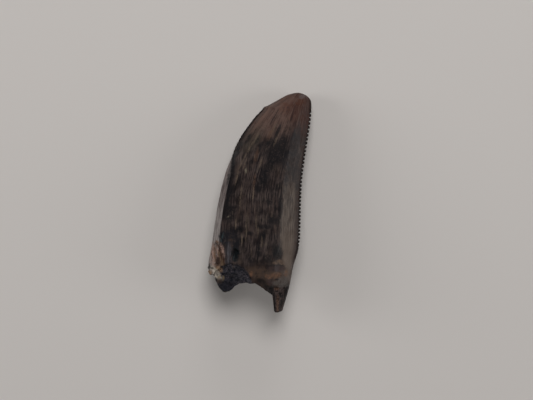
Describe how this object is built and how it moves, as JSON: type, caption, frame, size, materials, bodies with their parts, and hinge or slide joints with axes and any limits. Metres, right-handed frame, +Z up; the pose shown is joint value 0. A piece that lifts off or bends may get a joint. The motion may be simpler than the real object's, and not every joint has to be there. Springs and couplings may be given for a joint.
{
  "type": "fossil tyrannosaur tooth",
  "caption": "Dark brown fossil theropod tooth crown with a serrated rear edge and a broken, hollow base, lying on its side.",
  "frame": {"origin": "on the resting surface, below the middle of the tooth's bounding box", "axes": "+Y from the broken base to the tip, +X to the serrated rear edge, +Z up out of the side that faces up"},
  "size_m": [0.0142, 0.03, 0.0076],
  "materials": {
    "fossil_enamel": "satin dark brown enamel with pale lengthwise streaks, dull and rough where it is broken"
  },
  "bodies": {
    "root": {"tooth": "fossil_enamel"}
  },
  "joints": []
}
